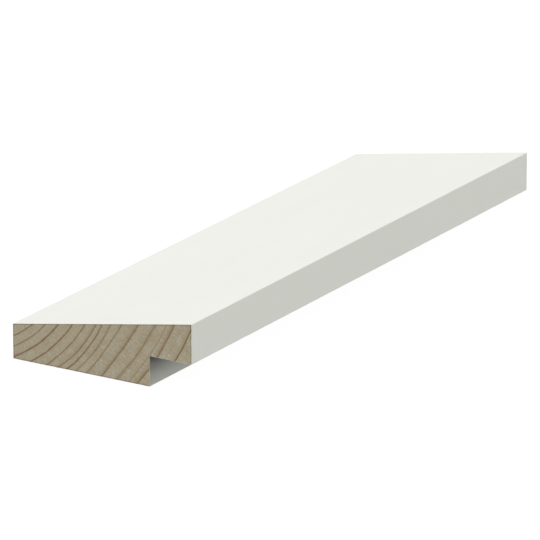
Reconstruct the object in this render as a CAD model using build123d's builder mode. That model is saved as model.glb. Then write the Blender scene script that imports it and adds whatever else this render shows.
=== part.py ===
from build123d import *

import os

# A panel moulding: one planed stick of softwood with a bevelled face.
# The flat back lies down on Z = 0 and the stick runs along Y.
# The face falls from the thick edge, at +X, to the thin edge, at -X.
# A rebate along the back of the thick edge laps over the edge of a wall panel.
# All sizes are in millimetres.

# Section
width = 43.0
thick_edge = 15.0
thin_edge = 7.5
rebate_width = 10.0
rebate_depth = 6.5

# The planer leaves the outer long arrises just off sharp, so that paint holds there.
arris_radius = 0.1

# The piece is cross-cut square at both ends.
length = 135.0

# Places in the section, measured from the middle of the width and up from the back
thick_side = width / 2
thin_side = -width / 2
rebate_wall = thick_side - rebate_width

with BuildPart() as moulding:
    with BuildSketch(Plane.XZ) as section:
        with BuildLine():
            Polyline(
                (thin_side, 0),
                (rebate_wall, 0),
                (rebate_wall, rebate_depth),
                (thick_side, rebate_depth),
                (thick_side, thick_edge),
                (thin_side, thin_edge),
                close=True,
            )
        make_face()
        # The nearest corner to this point is the rebate's inner one. It stays sharp,
        # so that a square panel edge seats in it, and all the others are eased.
        inner_corner = (rebate_wall, rebate_depth)
        outer_corners = section.vertices().sort_by_distance(inner_corner)[1:]
        fillet(outer_corners, radius=arris_radius)
    extrude(amount=length / 2, both=True)

moulding.part.label = "moulding"

os.makedirs("parts", exist_ok=True)
export_step(moulding.part, "parts/moulding.step")
print("section", round(section.sketch.area, 2), "mm2, volume", round(moulding.part.volume), "mm3")
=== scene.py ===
# %% [markdown]
# A panel moulding in Blender
#
# The object is one planed stick of pine, 43 mm wide. Its face slopes from a thick
# edge down to a thin one, and a rebate under the thick edge laps over a wall panel.
# The long faces are painted white. Both ends are sawn, so they show the bare wood
# with its growth rings. The measured model that is loaded here fixes every size.
# This script gives it two finished pieces: the pine stock and its coat of paint.

# %% Load the measured model
import math

import bpy
import numpy as np
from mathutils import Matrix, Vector
from mathutils.geometry import delaunay_2d_cdt


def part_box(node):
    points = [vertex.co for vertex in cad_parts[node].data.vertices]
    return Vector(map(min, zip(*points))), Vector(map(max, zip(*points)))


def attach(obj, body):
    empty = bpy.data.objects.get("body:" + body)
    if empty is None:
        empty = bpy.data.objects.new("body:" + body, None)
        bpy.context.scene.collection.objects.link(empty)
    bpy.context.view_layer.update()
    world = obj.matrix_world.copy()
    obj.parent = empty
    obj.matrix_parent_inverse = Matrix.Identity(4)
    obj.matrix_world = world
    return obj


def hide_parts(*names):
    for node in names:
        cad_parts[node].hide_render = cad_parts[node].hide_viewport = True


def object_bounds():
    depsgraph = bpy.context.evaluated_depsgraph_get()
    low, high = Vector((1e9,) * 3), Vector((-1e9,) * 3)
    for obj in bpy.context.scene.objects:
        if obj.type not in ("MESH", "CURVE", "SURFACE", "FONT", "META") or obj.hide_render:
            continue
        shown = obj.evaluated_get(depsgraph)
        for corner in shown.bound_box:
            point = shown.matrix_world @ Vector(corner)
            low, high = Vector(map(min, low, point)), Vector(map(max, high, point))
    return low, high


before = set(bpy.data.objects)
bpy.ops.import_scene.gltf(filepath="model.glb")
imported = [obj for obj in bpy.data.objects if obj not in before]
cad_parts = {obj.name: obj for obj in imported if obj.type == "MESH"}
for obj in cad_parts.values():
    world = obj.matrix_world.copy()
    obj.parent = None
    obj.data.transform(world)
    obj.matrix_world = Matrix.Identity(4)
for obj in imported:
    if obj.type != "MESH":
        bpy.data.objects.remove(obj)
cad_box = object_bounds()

cad_size = [round(v * 1000, 2) for v in cad_box[1] - cad_box[0]]
print("nodes", sorted(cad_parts), "box in mm", cad_size)

# %% [markdown]
# Sizes
#
# Lengths are easier to read in millimetres, and Blender works in metres, so sizes
# are written as 6.5 * MM. The width and the length are read from the measured
# model. The rest of the section is repeated here as the joiner would mark it out.

# %% The sizes of the moulding
MM = 0.001
lowest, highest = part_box("moulding")
thin_side, thick_side = lowest.x, highest.x
near_end, far_end = lowest.y, highest.y
back = lowest.z
length = far_end - near_end

thin_edge = 7.5 * MM
thick_edge = 15.0 * MM
rebate_wall = thick_side - 10.0 * MM
rebate_ceiling = back + 6.5 * MM
arris_radius = 0.1 * MM
paint_fillet = 0.12 * MM
film_thickness = 0.05 * MM


def face_height(x):
    """The height of the sloping face above the back."""
    share = (x - thin_side) / (thick_side - thin_side)
    return thin_edge + (thick_edge - thin_edge) * share


print("length", round(length / MM, 1), "mm, height in the middle", round(face_height(0) / MM, 2), "mm")

# %% [markdown]
# The camera
#
# A long lens from a metre and a half away keeps the edges nearly parallel, as they
# are in a catalogue picture. The camera is placed by what it looks at, how far
# round it stands and how far up, which is easier to judge than a bare position.

# %% Set up the camera
view_azimuth = math.radians(31.75)
view_elevation = math.radians(18.4)
aim_point = Vector((3.96, -9.32, 6.975)) * MM
camera_distance = 1.468
focal_length = 470.2

towards_camera = Vector((
    math.sin(view_azimuth) * math.cos(view_elevation),
    -math.cos(view_azimuth) * math.cos(view_elevation),
    math.sin(view_elevation),
))
camera = bpy.data.objects.new("camera", bpy.data.cameras.new("camera"))
camera.data.lens = focal_length
camera.data.sensor_width = 36.0
camera.data.clip_start = 0.1
camera.data.clip_end = 50.0
camera.location = aim_point + towards_camera * camera_distance
camera.rotation_euler = (math.pi / 2 - view_elevation, 0, view_azimuth)
bpy.context.collection.objects.link(camera)
bpy.context.scene.camera = camera
print("camera at", [round(v, 3) for v in camera.location])

# %% [markdown]
# Helpers for node trees
#
# Materials, the world and Geometry Nodes are all trees of nodes. Small helpers keep
# the script short. Two of them add a node with its settings, and join two sockets or
# fill one in. Three more add a sum, a spread of values or a mix of colours and hand
# back its result. The last tells what the camera sees from all other light, so that
# the sky and the floor can look plain white and still light the moulding differently.


# %% Node helpers
def add_node(tree, kind, **settings):
    """Adds a node and sets its properties."""
    node = tree.nodes.new(kind)
    for name, value in settings.items():
        setattr(node, name, value)
    return node


def feed(tree, socket, source):
    """Joins an output to this input, or sets the input to a plain value."""
    if isinstance(source, bpy.types.NodeSocket):
        tree.links.new(source, socket)
    else:
        socket.default_value = source


def calculate(tree, operation, *values):
    """Adds a Math node and returns its output."""
    node = add_node(tree, "ShaderNodeMath", operation=operation)
    for socket, value in zip(node.inputs, values):
        feed(tree, socket, value)
    return node.outputs[0]


def spread(tree, value, low, high, to_low, to_high, curve="LINEAR"):
    """Adds a clamped Map Range node, from low..high to to_low..to_high."""
    node = add_node(tree, "ShaderNodeMapRange", interpolation_type=curve)
    for socket, part in zip(node.inputs, (value, low, high, to_low, to_high)):
        feed(tree, socket, part)
    return node.outputs[0]


def mix_colours(tree, factor, first, second, blend="MIX"):
    """Adds a colour Mix node and returns its output."""
    mix = add_node(tree, "ShaderNodeMix", data_type="RGBA", blend_type=blend)
    # The node has a pair of inputs for each kind of data, so colours go by number.
    first_colour, second_colour = mix.inputs[6], mix.inputs[7]
    feed(tree, mix.inputs["Factor"], factor)
    feed(tree, first_colour, first)
    feed(tree, second_colour, second)
    return mix.outputs[2]


def seen_directly(tree):
    """1 for what the camera sees, also in a gloss or through glass, and 0 for all other light."""
    light_path = add_node(tree, "ShaderNodeLightPath").outputs
    seen = calculate(tree, "MAXIMUM", light_path["Is Camera Ray"], light_path["Is Glossy Ray"])
    seen = calculate(tree, "MAXIMUM", seen, light_path["Is Transmission Ray"])
    no_matt_bounce = calculate(tree, "LESS_THAN", light_path["Diffuse Depth"], 0.5)
    return calculate(tree, "MULTIPLY", seen, no_matt_bounce)


# %% [markdown]
# Light
#
# A catalogue picture is lit from large soft areas. Here most of it is the sky. Its
# left half is plain, and its right half is bright behind the moulding and dark in
# front of it, so that the thick edge is well lit. The sky is brightest a little way
# up, and dimmer and a little warmer at the horizon, so the rebate gets darker
# towards its inner corner, from where only the horizon can be seen, and its shade is
# as creamy as the paint. A softbox low in front on the left lights the sawn end,
# which faces that way, and misses the rebate, which faces the other. The lamp's level
# is what it adds to a white card that faces it, so lamp and sky can simply be
# compared.

# %% World and softbox
bpy.context.scene.view_settings.view_transform = "Standard"
left_sky = 0.61
right_sky_behind = 2.88
right_sky_in_front = 0.15
sky_blend = 0.15
white = (1, 1, 1, 1)
horizon_colour = (1, 1, 0.93, 1)
share_at_horizon = 0.3
share_overhead = 0.7
# Bands of height, from 0 at the horizon to 1 overhead
dim_low_band = (0, 0.2)
dim_high_band = (0.5, 1)
warm_band = (0.1, 0.5)

world = bpy.data.worlds.new("studio")
world.use_nodes = True
sky_tree = world.node_tree
sky_tree.nodes.clear()
direction = add_node(sky_tree, "ShaderNodeSeparateXYZ")
feed(sky_tree, direction.inputs[0], add_node(sky_tree, "ShaderNodeTexCoord").outputs["Generated"])
towards_right, towards_back, upwards = direction.outputs
right_sky = spread(sky_tree, towards_back, -sky_blend, sky_blend, right_sky_in_front, right_sky_behind)
sky_level = spread(sky_tree, towards_right, -sky_blend, sky_blend, left_sky, right_sky)
for height_share in (
    spread(sky_tree, upwards, *dim_low_band, share_at_horizon, 1),
    spread(sky_tree, upwards, *dim_high_band, 1, share_overhead),
):
    sky_level = calculate(sky_tree, "MULTIPLY", sky_level, height_share)
above_warm = spread(sky_tree, upwards, *warm_band, 0, 1)
sky_colour = mix_colours(sky_tree, above_warm, horizon_colour, white)
sky_light = add_node(sky_tree, "ShaderNodeBackground")
feed(sky_tree, sky_light.inputs["Color"], sky_colour)
feed(sky_tree, sky_light.inputs["Strength"], sky_level)
white_background = add_node(sky_tree, "ShaderNodeBackground")
white_background.inputs["Color"].default_value = white
sky_choice = add_node(sky_tree, "ShaderNodeMixShader")
feed(sky_tree, sky_choice.inputs[0], seen_directly(sky_tree))
feed(sky_tree, sky_choice.inputs[1], sky_light.outputs[0])
feed(sky_tree, sky_choice.inputs[2], white_background.outputs[0])
sky_output = add_node(sky_tree, "ShaderNodeOutputWorld")
feed(sky_tree, sky_output.inputs["Surface"], sky_choice.outputs[0])
bpy.context.scene.world = world


def add_softbox(name, direction, distance, size, level):
    """A square lamp that faces the moulding from that direction."""
    lamp = bpy.data.lights.new(name, "AREA")
    lamp.size = size
    lamp.energy = level * (math.pi * distance) ** 2
    softbox = bpy.data.objects.new(name, lamp)
    softbox.location = Vector(direction).normalized() * distance
    softbox.rotation_euler = (-softbox.location).to_track_quat("-Z", "Y").to_euler()
    bpy.context.collection.objects.link(softbox)
    print(name, "uses", round(lamp.energy, 1), "W")


add_softbox("front_softbox", direction=(-0.50, -0.85, 0.25), distance=3.0, size=1.3, level=0.46)

# %% [markdown]
# Floor
#
# The floor is as white as the background, so most of what the camera sees of it is
# a plain white glow, with a small share of real shading that holds a faint shadow.
# All other rays meet black, so that neither the glow nor the lamp's light comes back
# up into the rebate, which is dark in its inner corner.

# %% Make the floor
floor_size = 12.0
floor_drop = 0.02 * MM
floor_level = 1.03
shadow_share = 0.05

floor_material = bpy.data.materials.new("white_floor")
floor_material.use_nodes = True
floor_tree = floor_material.node_tree
floor_tree.nodes.clear()
glow = add_node(floor_tree, "ShaderNodeEmission")
glow.inputs["Color"].default_value = white
glow.inputs["Strength"].default_value = floor_level - shadow_share
shading = add_node(floor_tree, "ShaderNodeBsdfDiffuse")
shading.inputs["Color"].default_value = (shadow_share, shadow_share, shadow_share, 1)
shown_floor = add_node(floor_tree, "ShaderNodeAddShader")
feed(floor_tree, shown_floor.inputs[0], glow.outputs[0])
feed(floor_tree, shown_floor.inputs[1], shading.outputs[0])
black_floor = add_node(floor_tree, "ShaderNodeBsdfDiffuse")
black_floor.inputs["Color"].default_value = (0, 0, 0, 1)
floor_choice = add_node(floor_tree, "ShaderNodeMixShader")
feed(floor_tree, floor_choice.inputs[0], seen_directly(floor_tree))
feed(floor_tree, floor_choice.inputs[1], black_floor.outputs[0])
feed(floor_tree, floor_choice.inputs[2], shown_floor.outputs[0])
floor_output = add_node(floor_tree, "ShaderNodeOutputMaterial")
feed(floor_tree, floor_output.inputs["Surface"], floor_choice.outputs[0])

half_floor = floor_size / 2
floor_mesh = bpy.data.meshes.new("floor")
floor_corners = [(-1, -1), (1, -1), (1, 1), (-1, 1)]
floor_points = [(x * half_floor, y * half_floor, back - floor_drop) for x, y in floor_corners]
floor_mesh.from_pydata(floor_points, [], [(0, 1, 2, 3)])
floor_mesh.materials.append(floor_material)
floor = bpy.data.objects.new("floor", floor_mesh)
bpy.context.collection.objects.link(floor)

# %% [markdown]
# The outline of the section
#
# Both pieces follow the same outline, so it is worked out once: six corners, each
# rounded about its own centre. Paint builds up evenly on wood, so the surface of
# the wood is the same outline drawn in by the thickness of the film. On an outside
# corner that makes the radius smaller, and on the inside corner of the rebate
# larger, about the same centre. Short steps of even length go along the straights.

# %% Draw the outline
step_along = 0.4 * MM
steps_round_corner = 6
guard = 0.04 * MM
corners = [
    ((thin_side, back), arris_radius),
    ((rebate_wall, back), arris_radius),
    ((rebate_wall, rebate_ceiling), paint_fillet),
    ((thick_side, rebate_ceiling), arris_radius),
    ((thick_side, back + thick_edge), arris_radius),
    ((thin_side, back + thin_edge), arris_radius),
]


def rounded_corner(before, corner, after, radius):
    """The points of one rounded corner and, for each, the direction into the wood."""
    to_before = (before - corner).normalized()
    to_after = (after - corner).normalized()
    half_angle = to_before.angle(to_after) / 2
    centre = corner + (to_before + to_after).normalized() * radius / math.sin(half_angle)
    first = (corner + to_before * radius / math.tan(half_angle)) - centre
    last = (corner + to_after * radius / math.tan(half_angle)) - centre
    turn = math.pi - 2 * half_angle
    is_outside_corner = to_before.x * to_after.y - to_before.y * to_after.x < 0
    points = []
    for step in range(steps_round_corner + 1):
        share = step / steps_round_corner
        arm = first * math.sin((1 - share) * turn) + last * math.sin(share * turn)
        arm = arm / math.sin(turn)
        inward = -arm.normalized() if is_outside_corner else arm.normalized()
        points.append((centre + arm, inward))
    return points


def straight_run(start, end):
    """Points between two rounded corners, with one close to each for a crisp edge."""
    (first, inward), (last, _) = start, end
    run = (last - first).length
    steps = max(1, round(run / step_along))
    distances = [guard, *[run * i / steps for i in range(1, steps)], run - guard]
    return [(first + (last - first) * d / run, inward) for d in distances]


def section_outline():
    """All points round the section, anticlockwise as the camera sees it."""
    places = [Vector(place) for place, _ in corners]
    rounds = [
        rounded_corner(places[i - 1], places[i], places[(i + 1) % len(places)], corners[i][1])
        for i in range(len(corners))
    ]
    outline = []
    for i, points in enumerate(rounds):
        following = rounds[(i + 1) % len(rounds)]
        outline += points
        outline += straight_run(points[-1], following[0])
    return outline


outline = section_outline()
print("outline has", len(outline), "points")

# %% [markdown]
# Growth rings
#
# Each ring begins with pale earlywood and ends in a dark line of latewood, which
# stops short where the next spring begins. On this end the pith lies up and to the
# left, outside the stick. The rings aren't true circles, so each dark line is given
# by three places: where it leaves the back, passes half-way up, and meets the face, in
# millimetres from the thin edge. For most lines these began as the figures of a curve
# that a program fitted to points that were read off, and were then adjusted. Next come the
# width of the line, how dark it is, and how dark the soft side is that some lines
# have before them. Lines from before the thin edge and beyond the thick edge finish
# the pattern off.

# %% Mark the rings
rings = [
    (-34.0, -16.0, -6.0, 0.30, 0.7, 0.0),
    (-24.0, -8.6, 0.6, 0.30, 0.7, 0.0),
    (-13.6, -2.6, 4.8, 0.60, 0.92, 0.14),
    (-5.9, 2.3, 7.9, 0.54, 0.76, 0.14),
    (-0.6, 6.1, 11.2, 0.66, 0.86, 0.14),
    (4.0, 10.0, 14.5, 0.50, 0.86, 0.10),
    (7.9, 13.3, 17.6, 0.36, 0.79, 0.12),
    (10.8, 16.3, 20.2, 0.36, 0.80, 0.25),
    (12.9, 18.0, 21.6, 0.34, 0.92, 0.10),
    (15.1, 20.0, 23.8, 0.38, 0.58, 0.12),
    (17.7, 22.2, 26.4, 0.38, 0.58, 0.08),
    (21.2, 25.9, 30.4, 0.55, 0.72, 0.34),
    (24.8, 30.0, 34.4, 0.42, 0.66, 0.20),
    (25.2, 30.4, 34.8, 0.30, 0.32, 0.0),
    (27.8, 32.9, 37.2, 0.34, 0.36, 0.08),
    (29.8, 34.9, 38.9, 0.52, 0.76, 0.38),
    (31.9, 36.8, 41.1, 0.40, 0.10, 0.0),
    (34.0, 39.4, 43.4, 0.38, 1.00, 0.26),
    (38.2, 43.9, 47.4, 0.40, 0.7, 0.0),
    (41.0, 46.9, 50.6, 0.40, 0.7, 0.0),
]
line_places = np.array([ring[:3] for ring in rings]) * MM + thin_side
line_widths = np.array([ring[3] for ring in rings]) * MM
line_darkness = np.array([ring[4] for ring in rings])
soft_sides = np.array([ring[5] for ring in rings])
years = np.arange(len(rings), dtype=float)

line_slope = math.radians(54)
first_gap = 5 * MM
half_way_gaps = np.diff(line_places[:, 1], prepend=line_places[0, 1] - first_gap)
ring_widths = half_way_gaps * math.sin(line_slope)
largest_dark_share = 0.6
dark_share = np.minimum(line_widths / ring_widths, largest_dark_share)

sharp_side_past_middle = 0.4
waver_size = 0.05 * MM
short_wave_share = 0.6
# How often the lines waver from back to face, and how that shifts from year to year
long_wave, long_shift = 9, 2.4
short_wave, short_shift = 23, 5.1
grain_drift = 0.5 * MM


def ring_lines(rise, y):
    """Where the sharp side of each dark line is, at a share of the height from 0 to 1."""
    at_back, half_way, at_face = line_places.T
    bend = 2 * (at_back + at_face - 2 * half_way)
    lean = at_face - at_back - bend
    long_waves = np.sin(long_wave * rise + long_shift * years)
    short_waves = np.sin(short_wave * rise + short_shift * years)
    waver = waver_size * (long_waves + short_wave_share * short_waves)
    drift = grain_drift * (y - near_end) / length
    middle = at_back + lean * rise + bend * rise**2
    return np.sort(middle + sharp_side_past_middle * line_widths + waver + drift)


def years_grown(x, z, y):
    """The ring that this spot belongs to, as a number of years with its fraction."""
    return np.interp(x, ring_lines((z - back) / face_height(x), y), years)


def line_ahead(grown):
    """The number of the dark line that ends this spot's ring. On a line it is that line."""
    closeness = 0.01
    return np.ceil(np.asarray(grown) - closeness).astype(int)


first_year = years_grown(thin_side, back + thin_edge / 2, near_end)
last_year = years_grown(thick_side, back + thick_edge / 2, near_end)
print("rings across the end", int(last_year - first_year))

# %% [markdown]
# Points that follow the rings
#
# Saw and planer leave hard latewood a little proud of the soft earlywood. To hold
# such fine ridges, the mesh of the end has its points along the rings, close
# together where the surface steps and far apart where it is even. A Delaunay
# triangulation joins them. It keeps the outline of the section as its border, and
# every row of points along a ring as edges, so that no triangle cuts across a line.

# %% Place the points of an end
rows_up = 78
past_last_line = 0.04
clear_of_edge = 0.13 * MM
closest_points = 1e-9
earlywood_depth = 0.025 * MM
# The wood reaches a little way into the film, so that no gap can show between them.
wood_depth = 0.9 * film_thickness
outline_in_wood = [point + inward * wood_depth for point, inward in outline]


def distance_to_outside(x, z):
    """How far a spot lies inside the back, the face and both long edges."""
    slope = math.cos(math.atan((thick_edge - thin_edge) / (thick_side - thin_side)))
    under_face = (back + face_height(x) - z) * slope
    return min(x - thin_side, thick_side - x, z - back, under_face) - film_thickness


def distance_to_edge(x, z):
    """The same, but measured from the rebate as well. It is negative outside the wood."""
    from_rebate = math.hypot(max(rebate_wall - x, 0), max(z - rebate_ceiling, 0))
    return min(distance_to_outside(x, z), from_rebate - film_thickness)


def rows_along_rings(y):
    """Points inside the section at this end, and the edges that join them along the rings."""
    points = []
    edges = []
    for year in range(len(rings) - 1):
        band = dark_share[year + 1]
        pale = 1 - band
        in_pale = (past_last_line, 0.35 * pale, 0.7 * pale, pale)
        in_band = (1 - 0.5 * band, 1.0)
        for fraction in in_pale + in_band:
            joins_on = False
            for row in range(rows_up):
                rise = (row + 0.5) / rows_up
                x = np.interp(year + fraction, years, ring_lines(rise, y))
                z = back + rise * face_height(x)
                is_inside = distance_to_edge(x, z) > clear_of_edge
                if is_inside:
                    points.append(Vector((x, z)))
                if is_inside and joins_on:
                    edges.append((len(points) - 2, len(points) - 1))
                joins_on = is_inside
    return points, edges


def triangulated_end(y):
    """The places and triangles of one end. Its first places are those of the outline."""
    border = len(outline_in_wood)
    points, rows = rows_along_rings(y)
    edges = [(i, (i + 1) % border) for i in range(border)]
    edges += [(border + first, border + second) for first, second in rows]
    inside_only = 1
    triangulation = delaunay_2d_cdt(outline_in_wood + points, edges, [], inside_only, closest_points)
    return triangulation[0], triangulation[2]


near_places, near_triangles = triangulated_end(near_end)
far_places, far_triangles = triangulated_end(far_end)
print("near end", len(near_places), "points,", len(near_triangles), "triangles")

# %% [markdown]
# The pine stock
#
# The two ends are joined by four-sided faces along the length. What the material has
# to know about the wood is stored on the points: the year, the width of its ring and
# of the line that ends it, how dark that line and its soft side are, the depth under
# the outer faces, and a place in the tree (out from the pith, round it, and up the
# trunk), along which rays and pores run. The UV map gives the two ends most of the
# room, and the long sides, which the paint hides, a narrow strip.

# %% Build the pine stock
side_rows = 27
pith = Vector((thin_side - 22 * MM, back + 42 * MM))
border = len(outline_in_wood)


def ring_height(x, z, y):
    """How far the sawn surface lies below its highest ridges."""
    grown = years_grown(x, z, y)
    ahead = line_ahead(grown)
    band = dark_share[ahead]
    half_band = 0.5 * band
    ridge = min(1.0, max(0.0, (grown - ahead + band) / half_band))
    return earlywood_depth * (1 - ridge * line_darkness[ahead])


stock_points = [(x, near_end + ring_height(x, z, near_end), z) for x, z in near_places]
far_start = len(stock_points)
stock_points += [(x, far_end - ring_height(x, z, far_end), z) for x, z in far_places]
stock_faces = [tuple(triangle) for triangle in near_triangles]
stock_faces += [tuple(far_start + i for i in reversed(triangle)) for triangle in far_triangles]

loops = [list(range(border))]
for row in range(1, side_rows):
    y = near_end + length * row / side_rows
    loops.append(list(range(len(stock_points), len(stock_points) + border)))
    stock_points += [(x, y, z) for x, z in outline_in_wood]
loops.append([far_start + i for i in range(border)])
for here, beyond in zip(loops, loops[1:]):
    for i in range(border):
        following = (i + 1) % border
        stock_faces.append((here[i], beyond[i], beyond[following], here[following]))

stock_mesh = bpy.data.meshes.new("pine_stock")
stock_mesh.from_pydata(stock_points, [], stock_faces)
stock_mesh.update()
print("pine stock has", len(stock_mesh.polygons), "faces")

# %% Unwrap the pine stock
uv_margin = 0.01
uv_scale = (1 - 2 * uv_margin) / (thick_side - thin_side)
far_end_uv = 2 * uv_margin + thick_edge * uv_scale
sides_uv = far_end_uv + uv_margin + thick_edge * uv_scale
loop_points = [Vector(place) for place in outline_in_wood]
steps_round = [(loop_points[(i + 1) % border] - loop_points[i]).length for i in range(border)]
walked_round = np.concatenate([[0], np.cumsum(steps_round)]) / sum(steps_round)


def end_uv(point_number, low_v):
    """An end lies flat on the map, as wide as the map."""
    x, _, z = stock_points[point_number]
    return uv_margin + (x - thin_side) * uv_scale, low_v + (z - back) * uv_scale


corner_uvs = []
for triangle in near_triangles:
    corner_uvs += [end_uv(i, uv_margin) for i in triangle]
for triangle in far_triangles:
    corner_uvs += [end_uv(far_start + i, far_end_uv) for i in reversed(triangle)]
for row in range(side_rows):
    for i in range(border):
        for along, around in ((row, i), (row + 1, i), (row + 1, i + 1), (row, i + 1)):
            u = uv_margin + (1 - 2 * uv_margin) * along / side_rows
            v = sides_uv + (1 - uv_margin - sides_uv) * walked_round[around]
            corner_uvs.append((u, v))
bake_map = stock_mesh.uv_layers.new(name="OFBake")
bake_map.uv.foreach_set("vector", np.array(corner_uvs, dtype=np.float32).ravel())
print("the ends take", round(100 * sides_uv), "% of the map")

# %% Store what the material reads
place = np.array(stock_points)
grown = np.array([years_grown(x, z, y) for x, y, z in stock_points])
from_pith = place[:, [0, 2]] - np.array(pith)
distance_from_pith = np.hypot(from_pith[:, 0], from_pith[:, 1])
typical_radius = 55 * MM
round_pith = np.arctan2(from_pith[:, 1], from_pith[:, 0]) * typical_radius
in_tree = np.stack([distance_from_pith, round_pith, place[:, 1]], axis=1)


def store(mesh, name, kind, values):
    """Stores a value for each point of the mesh under a name."""
    attribute = mesh.attributes.new(name, kind, "POINT")
    key = "vector" if kind == "FLOAT_VECTOR" else "value"
    attribute.data.foreach_set(key, np.asarray(values, dtype=np.float32).ravel())


store(stock_mesh, "year", "FLOAT", grown)
for name, values in (
    ("ring_width", ring_widths),
    ("line_width", line_widths),
    ("darkness", line_darkness),
    ("soft_side", soft_sides),
):
    store(stock_mesh, name, "FLOAT", values[line_ahead(grown)])
rim_depths = [max(0, distance_to_outside(x, z)) for x, y, z in stock_points]
store(stock_mesh, "rim_depth", "FLOAT", rim_depths)
store(stock_mesh, "place_in_tree", "FLOAT_VECTOR", in_tree)

pine_stock = bpy.data.objects.new("pine_stock", stock_mesh)
bpy.context.collection.objects.link(pine_stock)

# %% [markdown]
# The coat of paint
#
# The coat is a thin film with a real thickness, which shows as a fine white line
# round each sawn end. Its shape follows a rule, the same outline all along, so
# Geometry Nodes make it: a grid is wrapped round the outline, and its rows run out
# along the surface and back along the wood. Merging the seams closes it, and the
# faces are flipped to point outwards. Where the saw broke through the film, a little
# noise nicks its rim.


# %% The node tree of the coat
def new_socket(tree, name, kind, default=None, direction="INPUT"):
    """Adds a named input or output to a node group."""
    socket = tree.interface.new_socket(name, in_out=direction, socket_type=kind)
    if default is not None:
        socket.default_value = default
    return socket


def sample_outline(tree, outline_geometry, value, index):
    """Reads a vector from the outline point with this index."""
    sample = add_node(tree, "GeometryNodeSampleIndex", data_type="FLOAT_VECTOR", domain="POINT")
    feed(tree, sample.inputs["Geometry"], outline_geometry)
    feed(tree, sample.inputs["Value"], value)
    feed(tree, sample.inputs["Index"], index)
    return sample.outputs[0]


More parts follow.
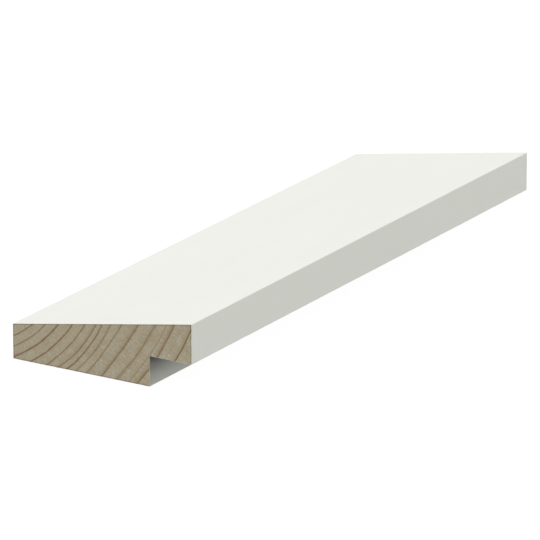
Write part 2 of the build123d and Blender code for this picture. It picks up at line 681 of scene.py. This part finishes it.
def build_film_tree():
    """The Geometry Nodes tree that wraps a closed film round an outline."""
    same_point = 1e-6
    nick_starts, nick_is_deepest = 0.55, 0.75
    tree = bpy.data.node_groups.new("swept_film", "GeometryNodeTree")
    new_socket(tree, "Outline", "NodeSocketGeometry")
    new_socket(tree, "Length", "NodeSocketFloat", 135 * MM)
    new_socket(tree, "Thickness", "NodeSocketFloat", 0.1 * MM)
    new_socket(tree, "Rows", "NodeSocketInt", 30)
    new_socket(tree, "End Margin", "NodeSocketFloat", 0.5 * MM)
    new_socket(tree, "Setback", "NodeSocketFloat", 0.01 * MM)
    new_socket(tree, "Nick Depth", "NodeSocketFloat", 0.08 * MM)
    new_socket(tree, "Nick Spacing", "NodeSocketFloat", 1.0 * MM)
    new_socket(tree, "Seed", "NodeSocketInt", 4)
    new_socket(tree, "Paint", "NodeSocketMaterial")
    new_socket(tree, "Film", "NodeSocketGeometry", direction="OUTPUT")
    given = add_node(tree, "NodeGroupInput").outputs

    size = add_node(tree, "GeometryNodeAttributeDomainSize", component="MESH")
    feed(tree, size.inputs["Geometry"], given["Outline"])
    round_count = size.outputs["Point Count"]
    rows_out_and_back = calculate(tree, "MULTIPLY", given["Rows"], 2)
    grid = add_node(tree, "GeometryNodeMeshGrid")
    feed(tree, grid.inputs["Vertices X"], calculate(tree, "ADD", round_count, 1))
    feed(tree, grid.inputs["Vertices Y"], calculate(tree, "ADD", rows_out_and_back, 1))

    index = add_node(tree, "GeometryNodeInputIndex").outputs[0]
    grid_rows = calculate(tree, "ADD", rows_out_and_back, 1)
    middle_of_point = calculate(tree, "ADD", index, 0.5)
    around = calculate(tree, "FLOOR", calculate(tree, "DIVIDE", middle_of_point, grid_rows))
    loop = calculate(tree, "MODULO", calculate(tree, "MODULO", index, grid_rows), rows_out_and_back)
    column = calculate(tree, "MODULO", around, round_count)
    last_row = calculate(tree, "SUBTRACT", given["Rows"], 1)
    on_wood = calculate(tree, "GREATER_THAN", loop, calculate(tree, "ADD", last_row, 0.5))
    way_back = calculate(tree, "SUBTRACT", calculate(tree, "SUBTRACT", rows_out_and_back, 1), loop)
    gap = calculate(tree, "SUBTRACT", way_back, loop)
    row = calculate(tree, "MULTIPLY_ADD", on_wood, gap, loop)

    half_length = calculate(tree, "MULTIPLY", given["Length"], 0.5)
    reach = calculate(tree, "SUBTRACT", half_length, given["End Margin"])
    last_inner_row = calculate(tree, "SUBTRACT", last_row, 1)
    y = spread(tree, row, 1, last_inner_row, calculate(tree, "MULTIPLY", reach, -1), reach)
    at_far = calculate(tree, "GREATER_THAN", row, calculate(tree, "SUBTRACT", last_row, 0.5))
    at_near = calculate(tree, "LESS_THAN", row, 0.5)
    end_sign = calculate(tree, "SUBTRACT", at_far, at_near)

    surface = sample_outline(
        tree, given["Outline"], add_node(tree, "GeometryNodeInputPosition").outputs[0], column
    )
    inward_attribute = add_node(tree, "GeometryNodeInputNamedAttribute", data_type="FLOAT_VECTOR")
    inward_attribute.inputs["Name"].default_value = "inward"
    inward = sample_outline(tree, given["Outline"], inward_attribute.outputs["Attribute"], column)

    nick_place = add_node(tree, "ShaderNodeCombineXYZ")
    feed(tree, nick_place.inputs["Y"], end_sign)
    shifted = add_node(tree, "ShaderNodeVectorMath", operation="ADD")
    feed(tree, shifted.inputs[0], surface)
    feed(tree, shifted.inputs[1], nick_place.outputs[0])
    noise = add_node(tree, "ShaderNodeTexNoise", noise_dimensions="4D")
    feed(tree, noise.inputs["Vector"], shifted.outputs[0])
    feed(tree, noise.inputs["W"], given["Seed"])
    feed(tree, noise.inputs["Scale"], calculate(tree, "DIVIDE", 1, given["Nick Spacing"]))
    nick = spread(tree, noise.outputs[0], nick_starts, nick_is_deepest, 0, given["Nick Depth"])
    short_of_end = calculate(tree, "ADD", given["Setback"], nick)
    last_step = calculate(tree, "SUBTRACT", given["End Margin"], short_of_end)
    y = calculate(tree, "MULTIPLY_ADD", end_sign, last_step, y)

    along = add_node(tree, "ShaderNodeCombineXYZ")
    feed(tree, along.inputs["Y"], y)
    depth = add_node(tree, "ShaderNodeVectorMath", operation="SCALE")
    feed(tree, depth.inputs[0], inward)
    feed(tree, depth.inputs["Scale"], calculate(tree, "MULTIPLY", on_wood, given["Thickness"]))
    on_surface = add_node(tree, "ShaderNodeVectorMath", operation="ADD")
    feed(tree, on_surface.inputs[0], surface)
    feed(tree, on_surface.inputs[1], along.outputs[0])
    film_place = add_node(tree, "ShaderNodeVectorMath", operation="ADD")
    feed(tree, film_place.inputs[0], on_surface.outputs[0])
    feed(tree, film_place.inputs[1], depth.outputs[0])

    wrapped = add_node(tree, "GeometryNodeSetPosition")
    feed(tree, wrapped.inputs["Geometry"], grid.outputs["Mesh"])
    feed(tree, wrapped.inputs["Position"], film_place.outputs[0])
    closed = add_node(tree, "GeometryNodeMergeByDistance")
    feed(tree, closed.inputs["Geometry"], wrapped.outputs[0])
    closed.inputs["Distance"].default_value = same_point
    outwards = add_node(tree, "GeometryNodeFlipFaces")
    feed(tree, outwards.inputs["Mesh"], closed.outputs[0])
    realized = add_node(tree, "GeometryNodeRealizeInstances")
    feed(tree, realized.inputs["Geometry"], outwards.outputs[0])
    painted = add_node(tree, "GeometryNodeSetMaterial")
    feed(tree, painted.inputs["Geometry"], realized.outputs[0])
    feed(tree, painted.inputs["Material"], given["Paint"])
    feed(tree, add_node(tree, "NodeGroupOutput").inputs[0], painted.outputs[0])
    return tree


film_tree = build_film_tree()
print("the coat's tree has", len(film_tree.nodes), "nodes")

# %% [markdown]
# Wood grain and paint texture
#
# Wood cells are long and thin, and so are the marks that they leave, in the bare
# wood and faintly through the paint. One shader group serves both: noise that can
# be stretched in any direction, with its result spread over the values asked for.


# %% The shared noise group
def build_streaks_group():
    """Noise stretched in any direction, spread over the values from Low to High."""
    tree = bpy.data.node_groups.new("streaks", "ShaderNodeTree")
    new_socket(tree, "Place", "NodeSocketVector")
    new_socket(tree, "Marks per Metre", "NodeSocketVector", (1000, 1000, 1000))
    new_socket(tree, "Detail", "NodeSocketFloat", 2.0)
    new_socket(tree, "Low", "NodeSocketFloat", 0.0)
    new_socket(tree, "High", "NodeSocketFloat", 1.0)
    new_socket(tree, "Value", "NodeSocketFloat", direction="OUTPUT")
    given = add_node(tree, "NodeGroupInput").outputs
    stretched = add_node(tree, "ShaderNodeVectorMath", operation="MULTIPLY")
    feed(tree, stretched.inputs[0], given["Place"])
    feed(tree, stretched.inputs[1], given["Marks per Metre"])
    noise = add_node(tree, "ShaderNodeTexNoise")
    feed(tree, noise.inputs["Vector"], stretched.outputs[0])
    feed(tree, noise.inputs["Scale"], 1.0)
    feed(tree, noise.inputs["Detail"], given["Detail"])
    palest_noise, darkest_noise = 0.3, 0.7
    value = spread(tree, noise.outputs[0], palest_noise, darkest_noise, given["Low"], given["High"])
    feed(tree, add_node(tree, "NodeGroupOutput").inputs[0], value)
    return tree


streaks_group = build_streaks_group()


def streaks(tree, place_socket, marks_per_mm, low, high, detail=2.0):
    """Places the streaks group with its own values and returns its output."""
    group = add_node(tree, "ShaderNodeGroup", node_tree=streaks_group)
    feed(tree, group.inputs["Place"], place_socket)
    group.inputs["Marks per Metre"].default_value = [marks / MM for marks in marks_per_mm]
    group.inputs["Low"].default_value = low
    group.inputs["High"].default_value = high
    group.inputs["Detail"].default_value = detail
    return group.outputs[0]


def from_screen(red, green, blue):
    """A colour as a screen shows it, 0 to 255, in the linear values that Blender uses."""
    shares = [value / 255 for value in (red, green, blue)]
    # The curve of the sRGB standard. Its straight foot is darker than any colour here.
    return (*[((share + 0.055) / 1.055) ** 2.4 for share in shares], 1)


def raise_surface(tree, height, distance, below=None):
    """Adds a Bump node: height from 0 to 1 times distance, in metres."""
    bump = add_node(tree, "ShaderNodeBump")
    feed(tree, bump.inputs["Height"], height)
    bump.inputs["Distance"].default_value = distance
    if below is not None:
        feed(tree, bump.inputs["Normal"], below)
    return bump.outputs[0]


# %% [markdown]
# White paint
#
# A factory coat is even and satin. Up close it has a very fine orange-peel texture
# from the spray gun, and the grain of the pine shows through as long shallow lines.
# Both are only a few thousandths of a millimetre high, so they belong in a bump.

# %% The paint material
# Marks per millimetre across the stick, along it and up
coverage_marks = (0.10, 0.02, 0.10)
satin_marks = (0.5, 0.1, 0.5)
grain_marks = (1.2, 0.03, 1.2)
orange_peel_marks = (1.6, 1.6, 1.6)
thin_colour = from_screen(239, 240, 233.5)
thick_colour = from_screen(240, 241, 234.5)
smoothest, roughest = 0.42, 0.50
paint_specular = 0.2
grain_height = 0.002 * MM
orange_peel_height = 0.0015 * MM

paint = bpy.data.materials.new("sprayed_white")
paint.use_nodes = True
paint_tree = paint.node_tree
paint_tree.nodes.clear()
paint_shader = add_node(paint_tree, "ShaderNodeBsdfPrincipled")
paint_place = add_node(paint_tree, "ShaderNodeTexCoord").outputs["Object"]

thicker_or_thinner = streaks(paint_tree, paint_place, coverage_marks, 0.0, 1.0)
paint_colour = mix_colours(paint_tree, thicker_or_thinner, thin_colour, thick_colour)
feed(paint_tree, paint_shader.inputs["Base Color"], paint_colour)
satin = streaks(paint_tree, paint_place, satin_marks, smoothest, roughest)
feed(paint_tree, paint_shader.inputs["Roughness"], satin)
paint_shader.inputs["Specular IOR Level"].default_value = paint_specular
grain_lines = streaks(paint_tree, paint_place, grain_marks, 0.0, 1.0)
orange_peel = streaks(paint_tree, paint_place, orange_peel_marks, 0.0, 1.0)
paint_normal = raise_surface(paint_tree, grain_lines, grain_height)
paint_normal = raise_surface(paint_tree, orange_peel, orange_peel_height, paint_normal)
feed(paint_tree, paint_shader.inputs["Normal"], paint_normal)
paint_output = add_node(paint_tree, "ShaderNodeOutputMaterial")
feed(paint_tree, paint_output.inputs["Surface"], paint_shader.outputs[0])

# %% [markdown]
# Bare pine
#
# The fraction of the year tells where in its ring a spot lies. Darkness climbs
# through the last part of the ring, early and gently on a soft side, and drops at
# once where the next year begins. Between the lines the wood isn't even either: brown
# specks and larger patches, drawn out along the rays, tint it. Rays and pores make
# it paler and darker in fine streaks across the rings, enough to make the end look
# dry. Under the outer faces the fibres are browner, where the saw rubbed and paint
# soaked in, and brownest where a dark line meets them. The rebate has no such rim.


# %% The pine material
def read_attribute(tree, name, output="Fac"):
    """Reads a value that is stored on the points of the mesh."""
    return add_node(tree, "ShaderNodeAttribute", attribute_name=name).outputs[output]


# Marks per millimetre out from the pith, round it and up the trunk
line_marks = (0.35, 0.7, 0.1)
speckle_marks = (1.8, 5.0, 0.3)
patch_marks = (0.35, 0.7, 0.02)
ray_marks = (0.5, 4.8, 0.1)
pore_marks = (4.5, 5.5, 0.3)
earlywood_colour = from_screen(222, 217, 199)
between_colour = from_screen(204, 190, 160)
between_place = 0.25
latewood_colour = from_screen(146, 114, 74)
edge_colour = from_screen(158, 137, 103)
line_end_colour = from_screen(84, 58, 32)
speckle_strength = 0.27
patch_strength = 0.11
late_in_year_strength = 0.08
rim_strength = 0.8
# Where each fades: a line over parts of its width, and the others over a distance
line_fade = (0.3, 1.2)
line_end = 0.06 * MM
soft_side_fade = (0.25 * MM, 1.4 * MM)
rim_fade = (0.05 * MM, 0.3 * MM)
earlywood_roughness, latewood_roughness = 0.85, 0.65
pine_specular = 0.3
ray_height = 0.02 * MM
pore_height = 0.01 * MM

pine = bpy.data.materials.new("sawn_pine")
pine.use_nodes = True
pine_tree = pine.node_tree
pine_tree.nodes.clear()
pine_shader = add_node(pine_tree, "ShaderNodeBsdfPrincipled")
tree_place = read_attribute(pine_tree, "place_in_tree", "Vector")

fraction = calculate(pine_tree, "FRACT", read_attribute(pine_tree, "year"))
ring_width = read_attribute(pine_tree, "ring_width")
darkness = read_attribute(pine_tree, "darkness")
after_line = calculate(pine_tree, "MULTIPLY", fraction, ring_width)
before_line = calculate(pine_tree, "SUBTRACT", ring_width, after_line)
line_widths_away = calculate(pine_tree, "DIVIDE", before_line, read_attribute(pine_tree, "line_width"))
fades_in = spread(pine_tree, line_widths_away, *line_fade, 1, 0, "SMOOTHSTEP")
stops_short = spread(pine_tree, after_line, 0, line_end, 1, 0)
line = calculate(pine_tree, "MAXIMUM", fades_in, stops_short)
line_strength = streaks(pine_tree, tree_place, line_marks, 0.9, 1.1)
line = calculate(pine_tree, "MULTIPLY", line, line_strength)
soft_side = spread(pine_tree, before_line, *soft_side_fade, 1, 0, "SMOOTHSTEP")
soft_side = calculate(pine_tree, "MULTIPLY", soft_side, read_attribute(pine_tree, "soft_side"))
latewood = calculate(pine_tree, "MAXIMUM", calculate(pine_tree, "MULTIPLY", line, darkness), soft_side)
late_in_year = spread(pine_tree, fraction, 0.1, 1.0, 0, late_in_year_strength)
latewood = calculate(pine_tree, "MAXIMUM", latewood, late_in_year)
speckle = streaks(pine_tree, tree_place, speckle_marks, 0.0, speckle_strength)
patches = streaks(pine_tree, tree_place, patch_marks, 0.0, patch_strength)
tint = calculate(pine_tree, "ADD", speckle, patches)
room_for_brown = calculate(pine_tree, "SUBTRACT", 1, latewood)
brown = calculate(pine_tree, "MULTIPLY_ADD", room_for_brown, tint, latewood)

wood_colours = add_node(pine_tree, "ShaderNodeValToRGB")
wood_colours.color_ramp.elements[0].color = earlywood_colour
wood_colours.color_ramp.elements.new(between_place).color = between_colour
wood_colours.color_ramp.elements[2].color = latewood_colour
feed(pine_tree, wood_colours.inputs[0], brown)
wood_colour = wood_colours.outputs[0]
rays = streaks(pine_tree, tree_place, ray_marks, 0.94, 1.06)
pores = streaks(pine_tree, tree_place, pore_marks, 0.92, 1.08)
brightness = calculate(pine_tree, "MULTIPLY", rays, pores)
brightness_colour = add_node(pine_tree, "ShaderNodeCombineColor")
for channel in brightness_colour.inputs:
    feed(pine_tree, channel, brightness)
wood_colour = mix_colours(pine_tree, 1.0, wood_colour, brightness_colour.outputs[0], "MULTIPLY")
rim_depth = read_attribute(pine_tree, "rim_depth")
rim = spread(pine_tree, rim_depth, *rim_fade, rim_strength, 0, "SMOOTHSTEP")
rim_colour = mix_colours(pine_tree, latewood, edge_colour, line_end_colour)
wood_colour = mix_colours(pine_tree, rim, wood_colour, rim_colour)

feed(pine_tree, pine_shader.inputs["Base Color"], wood_colour)
pine_roughness = spread(pine_tree, latewood, 0, 1, earlywood_roughness, latewood_roughness)
feed(pine_tree, pine_shader.inputs["Roughness"], pine_roughness)
pine_shader.inputs["Specular IOR Level"].default_value = pine_specular
pine_normal = raise_surface(pine_tree, rays, ray_height)
pine_normal = raise_surface(pine_tree, pores, pore_height, pine_normal)
feed(pine_tree, pine_shader.inputs["Normal"], pine_normal)
pine_output = add_node(pine_tree, "ShaderNodeOutputMaterial")
feed(pine_tree, pine_output.inputs["Surface"], pine_shader.outputs[0])
stock_mesh.materials.append(pine)

# %% [markdown]
# Spray the coat
#
# The tree from above now gets its outline, its sizes and its paint. The result is
# turned into a plain mesh, and the object that carried the modifier is taken away.
# The grid it grew from had an empty material slot, which goes too.

# %% Make the coat
outline_mesh = bpy.data.meshes.new("outline")
outline_places = [(x, 0, z) for (x, z), _ in outline]
outline_edges = [(i, (i + 1) % border) for i in range(border)]
outline_mesh.from_pydata(outline_places, outline_edges, [])
store(outline_mesh, "inward", "FLOAT_VECTOR", [(inward.x, 0, inward.y) for _, inward in outline])
outline_object = bpy.data.objects.new("outline", outline_mesh)
bpy.context.collection.objects.link(outline_object)

film = outline_object.modifiers.new("film", "NODES")
film.node_group = film_tree
film_inputs = {
    "Length": length,
    "Thickness": film_thickness,
    "Rows": 30,
    "End Margin": 0.5 * MM,
    "Setback": 0.01 * MM,
    "Nick Depth": 0.08 * MM,
    "Nick Spacing": 1.0 * MM,
    "Seed": 4,
    "Paint": paint,
}
for item in film_tree.interface.items_tree:
    if item.item_type == "SOCKET" and item.in_out == "INPUT" and item.name in film_inputs:
        film[item.identifier] = film_inputs[item.name]

evaluated = outline_object.evaluated_get(bpy.context.evaluated_depsgraph_get())
coat_mesh = bpy.data.meshes.new_from_object(evaluated)
coat_mesh.name = "paint_coat"
coat_mesh.materials.pop(index=0)
bpy.data.objects.remove(outline_object)
paint_coat = bpy.data.objects.new("paint_coat", coat_mesh)
bpy.context.collection.objects.link(paint_coat)
print("paint coat has", len(coat_mesh.polygons), "faces")

# %% Shade both pieces
smooth_below = math.radians(35)
for mesh in (coat_mesh, stock_mesh):
    mesh.shade_smooth()
    mesh.set_sharp_from_angle(angle=smooth_below)

# %% [markdown]
# Hand over
#
# Both pieces ride on the one body of the model, and together they stand for the
# measured stick.

# %% Tie the pieces to the model
for piece, slot in ((pine_stock, "bare_pine"), (paint_coat, "white_paint")):
    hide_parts("moulding")
    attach(piece, "root")
